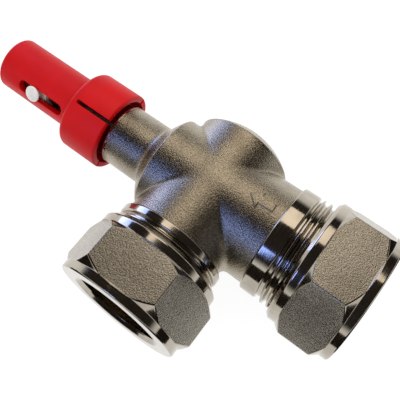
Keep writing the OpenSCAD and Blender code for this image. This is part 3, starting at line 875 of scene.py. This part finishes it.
@dataclass
class SettingCap:
    """The red cap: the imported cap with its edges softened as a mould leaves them."""

    node: str = "setting_cap"
    soft: float = 0.22

    def build(self) -> None:
        """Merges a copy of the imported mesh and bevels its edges."""
        mesh = frame["nodes"][self.node].data.copy()
        mesh.materials.clear()
        piece = bpy.data.objects.new("moulded_cap", mesh)
        bpy.context.scene.collection.objects.link(piece)
        work = bmesh.new()
        work.from_mesh(mesh)
        bmesh.ops.remove_doubles(work, verts=work.verts, dist=1e-6)
        bmesh.ops.dissolve_limit(work, angle_limit=math.radians(0.6), verts=work.verts, edges=work.edges)
        work.to_mesh(mesh)
        work.free()
        mesh.polygons.foreach_set("use_smooth", np.ones(len(mesh.polygons), dtype=bool))
        bevel = piece.modifiers.new("soft_edges", "BEVEL")
        bevel.width = self.soft * MM
        bevel.segments = 3
        bevel.limit_method = "ANGLE"
        bevel.angle_limit = math.radians(32)
        bevel.harden_normals = True
        settle(piece, "cap", [self.node], [MOULDED_RED])


@dataclass
class PointerButton:
    """The white button on the pointer ring, which shows the setting in the cap's window."""

    station: float = -54.3
    angle: float = 149.0
    shank_r: float = 1.5
    head_r: float = 2.2
    foot: float = 3.8
    under: float = 7.42
    proud: float = 1.2

    def build(self) -> None:
        """Builds the button: a shank, and a dome whose height falls with the square of the radius."""
        tilt = math.radians(self.angle)
        out = (0.0, math.cos(tilt), math.sin(tilt))
        axis = Axis((CROSS_X + self.station, 0.0, 0.0), out, (1.0, 0.0, 0.0))
        r = np.linspace(self.head_r - 0.12, 0.0, 14)
        rim = self.under + 0.45
        dome = rim + (self.under + self.proud - rim) * (1.0 - (r / self.head_r) ** 2)
        stations = np.concatenate([[self.foot, self.foot, self.under - 0.05, self.under, self.under + 0.02,
                                    self.under + 0.12, rim - 0.1], dome])
        radii = np.concatenate([[0.0, self.shank_r, self.shank_r, self.shank_r + 0.05, self.head_r - 0.1,
                                 self.head_r, self.head_r], r])
        turn = even_angles(64)[:, None]
        points = axis.place(radii[None], turn, stations[None])
        quads, _ = grid_quads(*points.shape[:2], True, False)
        piece = write_mesh("white_button", points.reshape(-1, 3), quads)
        weld(piece)
        settle(piece, "spindle", ["pointer_button"], [MOULDED_WHITE])


@dataclass
class CoilSpring:
    """The spring in the spindle's cup, drawn in two lengths because both of its ends move.

    Both turn with the spindle, and so with the cap, and slip on the disc. The length by the cup bends
    between the spindle and the cap, which doesn't slide, and the length by the disc flattens as the disc
    lifts. They meet in one section of the wire.
    """

    wire_r: float = 0.6
    mean_r: float = 4.1
    turns: float = 7.5
    closed_pitch: float = 1.26
    meet_turn: float = 5.25
    sides: int = 12
    turn_steps: int = 32

    def __post_init__(self) -> None:
        """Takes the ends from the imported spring, as stations, and the disc's lift from its joint."""
        low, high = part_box("spring")
        self.start, self.end = low[0] / MM - CROSS_X, high[0] / MM - CROSS_X
        joint = next(j for j in frame["joints"] if j["name"] == "disc_lift")
        self.lift = joint["range_m"][1] / MM

    def station(self, turn: Array | float) -> Array | float:
        """Station of the wire's middle after that many turns: the first and the last lie closed."""
        between = self.turns - 2.0
        pitch = (self.end - self.start - 2 * self.wire_r - 2 * self.closed_pitch) / between
        closed = np.minimum(turn, 1.0) + np.maximum(turn - self.turns + 1.0, 0.0)
        risen = closed * self.closed_pitch + np.clip(turn - 1.0, 0.0, between) * pitch
        return self.start + self.wire_r + risen

    def coil(self, name: str, first: float, last: float) -> bpy.types.Object:
        """Sweeps the wire from one turn to another. Its ends close on their middle points."""
        steps = round((last - first) * self.turn_steps)
        turn = np.concatenate([[first], np.linspace(first, last, steps + 1), [last]])[:, None]
        reach = np.full_like(turn, self.wire_r)
        reach[[0, -1]] = 0.0
        around = even_angles(self.sides)[None]
        points = INLET_AXIS.place(self.mean_r + reach * np.cos(around), (turn - 0.25) * TURN,
                                  self.station(turn) + reach * np.sin(around))
        quads, _ = grid_quads(len(turn), self.sides, False, True)
        piece = write_mesh(name, points.reshape(-1, 3), quads)
        weld(piece)
        for face in piece.data.polygons:
            face.use_smooth = len(face.vertices) == 4
        return piece

    def build(self) -> None:
        """Builds both lengths."""
        meet = self.station(self.meet_turn)
        by_cup = self.coil("spring_by_cup", 0.0, self.meet_turn)
        settle(by_cup, None, ["spring"], [DRAWN_STAINLESS])
        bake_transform(by_cup)
        by_disc = self.coil("spring_by_disc", self.meet_turn, self.turns)
        settle(by_disc, "cap", ["spring"], [DRAWN_STAINLESS])
        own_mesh(by_disc)


class InnerParts:
    """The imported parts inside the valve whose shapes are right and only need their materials."""

    def build(self) -> None:
        """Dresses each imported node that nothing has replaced."""
        slots = {part["node"]: part["material_slot"] for part in frame["record"]["subparts"]}
        for name, node in frame["nodes"].items():
            if node.hide_render:
                continue
            node.data.materials.clear()
            node.data.materials.append(PALETTE.get(SLOT_FINISH[slots[name]]))
            LOG.info("%s: packed shape, %s", name, slots[name])


# Studio

@dataclass
class Studio:
    """The floor, the light and the camera."""

    eye: tuple[float, float, float] = (33.24 + CROSS_X, -53.95, 144.08)
    right: tuple[float, float, float] = (0.7913, 0.6112, -0.0160)
    up: tuple[float, float, float] = (-0.5471, 0.7195, 0.4277)
    back: tuple[float, float, float] = (0.2729, -0.3297, 0.9038)
    focal: float = 622.55
    middle: tuple[float, float] = (175.0, 176.5)
    frame_px: float = 400.0

    def camera(self) -> None:
        """Places the camera where the photograph was taken from."""
        data = bpy.data.cameras.new("camera")
        data.sensor_width = 36.0
        data.lens = 36.0 * self.focal / self.frame_px
        data.shift_x = (self.frame_px / 2 - self.middle[0]) / self.frame_px
        data.shift_y = (self.middle[1] - self.frame_px / 2) / self.frame_px
        data.clip_start, data.clip_end = 0.005, 20.0
        camera = bpy.data.objects.new("camera", data)
        axes = Matrix((self.right, self.up, self.back)).transposed()
        camera.matrix_world = Matrix.Translation([v * MM for v in self.eye]) @ axes.to_4x4()
        bpy.context.scene.collection.objects.link(camera)
        bpy.context.scene.camera = camera

    def floor(self, level: float) -> None:
        """Lays a pale floor under the valve, which keeps a faint shadow.

        Args:
            level: Height of the floor, in metres.
        """
        side = 3.0
        corners = [[x * side, y * side, level] for x, y in ((-1, -1), (1, -1), (1, 1), (-1, 1))]
        floor = write_mesh("floor", np.array(corners) / MM, np.array([[0, 1, 2, 3]]))
        material = bpy.data.materials.new("white_paper_sweep")
        material.use_nodes = True
        tree = material.node_tree
        tree.nodes.clear()
        path = add_node(tree, "ShaderNodeLightPath")
        seen = self.seen(tree, path)
        share = add_node(tree, "ShaderNodeMath", {0: seen, 1: 0.80}, operation="MULTIPLY").outputs[0]
        paper = add_node(tree, "ShaderNodeBsdfDiffuse", {"Color": linear("#f4f4f4")}).outputs[0]
        white = add_node(tree, "ShaderNodeEmission", {"Color": (1, 1, 1, 1), "Strength": 1.14}).outputs[0]
        mixed = add_node(tree, "ShaderNodeMixShader", {0: share, 1: paper, 2: white}).outputs[0]
        add_node(tree, "ShaderNodeOutputMaterial", {"Surface": mixed})
        floor.data.materials.append(material)
        floor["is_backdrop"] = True

    @staticmethod
    def seen(tree: bpy.types.NodeTree, path: bpy.types.Node) -> bpy.types.NodeSocket:
        """Returns one for a ray from the camera, a mirror or through glass."""
        kinds = ("Camera", "Glossy", "Transmission")
        camera, mirror, glass = [path.outputs[f"Is {kind} Ray"] for kind in kinds]
        first = add_node(tree, "ShaderNodeMath", {0: camera, 1: mirror}, operation="MAXIMUM").outputs[0]
        return add_node(tree, "ShaderNodeMath", {0: first, 1: glass}, operation="MAXIMUM").outputs[0]

    def world(self) -> None:
        """A white room with a dark ceiling, which gives the metal its dark and light bands."""
        world = bpy.data.worlds.new("white_room")
        bpy.context.scene.world = world
        world.use_nodes = True
        tree = world.node_tree
        tree.nodes.clear()
        way = add_node(tree, "ShaderNodeTexCoord").outputs["Generated"]
        height = add_node(tree, "ShaderNodeSeparateXYZ", {0: way}).outputs["Z"]
        ceiling = add_node(tree, "ShaderNodeMapRange", {
            "Value": height, "From Min": 0.12, "From Max": 0.38}, interpolation_type="SMOOTHSTEP").outputs[0]
        room = add_node(tree, "ShaderNodeMix", {
            0: ceiling, 6: (1, 1, 1, 1), 7: linear("#2b2621")}, data_type="RGBA").outputs[2]
        seen = self.seen(tree, add_node(tree, "ShaderNodeLightPath"))
        colour = add_node(tree, "ShaderNodeMix", {
            0: seen, 6: (0.9, 0.9, 0.9, 1), 7: room}, data_type="RGBA").outputs[2]
        light = add_node(tree, "ShaderNodeBackground", {"Color": colour}).outputs[0]
        add_node(tree, "ShaderNodeOutputWorld", {"Surface": light})

    def lamp(self, name: str, place: tuple[float, float, float], size: float, power: float,
             colour: str) -> None:
        """Hangs a square soft box that faces the valve.

        Args:
            name: Its name.
            place: Where it hangs, in metres.
            size: Its side, in metres.
            power: Its power in watts.
            colour: Its sRGB colour.
        """
        data = bpy.data.lights.new(name, "AREA")
        data.shape, data.size, data.energy, data.color = "SQUARE", size, power, linear(colour)[:3]
        lamp = bpy.data.objects.new(name, data)
        back = Vector(place) - Vector((CROSS_X * MM, 0.0, 0.0))
        lamp.matrix_world = Matrix.Translation(place) @ back.to_track_quat("Z", "Y").to_matrix().to_4x4()
        bpy.context.scene.collection.objects.link(lamp)

    def flag(self, name: str, ends: tuple[tuple[float, float], tuple[float, float]], level: float,
             height: float) -> None:
        """Stands a dark card on the floor, which only mirrors see: it darkens the sides that face it.

        Args:
            name: Its name.
            ends: Where its lower edge starts and ends, in metres.
            level: Height of the floor, in metres.
            height: Its height, in metres.
        """
        (ax, ay), (bx, by) = ends
        top = level + height
        corners = np.array([[ax, ay, level], [bx, by, level], [bx, by, top], [ax, ay, top]])
        card = write_mesh(name, corners / MM, np.array([[0, 1, 2, 3]]))
        material = bpy.data.materials.new("black_velvet_card")
        material.use_nodes = True
        tree = material.node_tree
        tree.nodes.clear()
        dark = add_node(tree, "ShaderNodeEmission", {"Color": linear("#241f1a")}).outputs[0]
        add_node(tree, "ShaderNodeOutputMaterial", {"Surface": dark})
        card.data.materials.append(material)
        card.visible_camera = card.visible_diffuse = card.visible_shadow = False
        card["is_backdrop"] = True

    def build(self, level: float) -> None:
        """Builds the studio on a floor at that level."""
        self.camera()
        self.floor(level)
        self.world()
        self.lamp("warm_box_above", (-0.12, 0.26, 0.45), 0.34, 0.58, "#fff3e4")
        self.lamp("window_left", (-0.56, 0.20, 0.14), 0.26, 0.80, "#9cb4ff")
        self.lamp("window_front", (-0.14, -0.44, 0.36), 0.17, 0.50, "#86a4ff")
        self.flag("flag_front", ((-0.12, -0.060), (0.05, -0.060)), level, 0.030)
        self.flag("flag_right", ((0.036, -0.060), (0.036, 0.040)), level, 0.030)
        bpy.context.scene.view_settings.view_transform = "Standard"


def main() -> None:
    """Builds the valve and its studio."""
    logging.basicConfig(level=logging.INFO, format="%(name)s %(message)s")
    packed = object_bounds()
    body = ForgedBody()
    body.build()
    FlowArrow(body).build()
    ThreadedPort("inlet_port", INLET_AXIS, collar_at=18.9, collar_w=4.5, thread_l=12.8, phase=0.42).build()
    ThreadedPort("outlet_port", OUTLET_AXIS, collar_at=15.9, collar_w=2.4, thread_l=10.5, phase=0.30).build()
    NeckSpigot().build()
    UnionNut("inlet_union_nut", "inlet_nut", "inlet_nut", INLET_AXIS, start=27.6, flat_angle=90.0).build()
    UnionNut("outlet_union_nut", "outlet_nut", "outlet_nut", OUTLET_AXIS, start=20.2, flat_angle=90.0).build()
    Olive("inlet_brass_olive", "inlet_olive", INLET_AXIS, start=34.0).build()
    Olive("outlet_brass_olive", "outlet_olive", OUTLET_AXIS, start=26.6).build()
    SettingCap().build()
    PointerButton().build()
    CoilSpring().build()
    InnerParts().build()
    Studio().build(min(packed[0][2], packed[1][2]))


if __name__ == "__main__":
    main()
